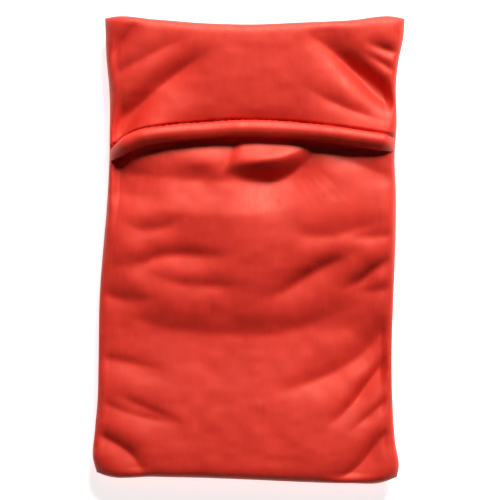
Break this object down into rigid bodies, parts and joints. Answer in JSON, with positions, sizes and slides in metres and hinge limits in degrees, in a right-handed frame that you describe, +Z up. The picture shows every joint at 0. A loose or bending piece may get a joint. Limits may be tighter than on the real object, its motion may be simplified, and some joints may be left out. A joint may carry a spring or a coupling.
{
  "type": "eye pillow",
  "caption": "Flat rectangular eye pillow: a seed-filled cotton insert inside a removable velvet cover with an overlapping hemmed envelope mouth.",
  "frame": {"origin": "on the surface the pillow rests on, under the middle of its bounding box", "axes": "+Z up through the pillow, +Y along its long side towards the flap's sewn end, +X to the right as seen from above with the flap away from the viewer"},
  "size_m": [0.1414, 0.2136, 0.0217],
  "materials": {
    "velvet": "satin",
    "cover_thread": "satin",
    "cotton": "matte",
    "insert_thread": "satin",
    "seed": "satin"
  },
  "bodies": {
    "cover": {"back_panel": "velvet", "front_panel": "velvet", "underlap_hem": "velvet", "underlap_hem_stitching": "cover_thread", "left_seam_allowance": "velvet", "right_seam_allowance": "velvet", "top_seam_allowance": "velvet", "bottom_seam_allowance": "velvet", "left_seam_stitching": "cover_thread", "right_seam_stitching": "cover_thread", "top_seam_stitching": "cover_thread", "bottom_seam_stitching": "cover_thread"},
    "flap": {"flap_panel": "velvet", "flap_hem": "velvet", "flap_hem_stitching": "cover_thread"},
    "insert": {"insert_back": "cotton", "insert_front": "cotton", "insert_seam_allowance": "cotton", "insert_seam_stitching": "insert_thread", "insert_closure_stitching": "insert_thread", "seed_fill": "seed"}
  },
  "joints": [
    {"name": "flap_lift", "type": "hinge", "parent": "cover", "child": "flap", "pos_m": [0, 0.107, 0.0087], "axis": [-1, 0, 0], "range_deg": [0, 18]},
    {"name": "insert_shift", "type": "slide", "parent": "cover", "child": "insert", "axis": [0, 1, 0], "range_m": [-0.003, 0.003]}
  ]
}
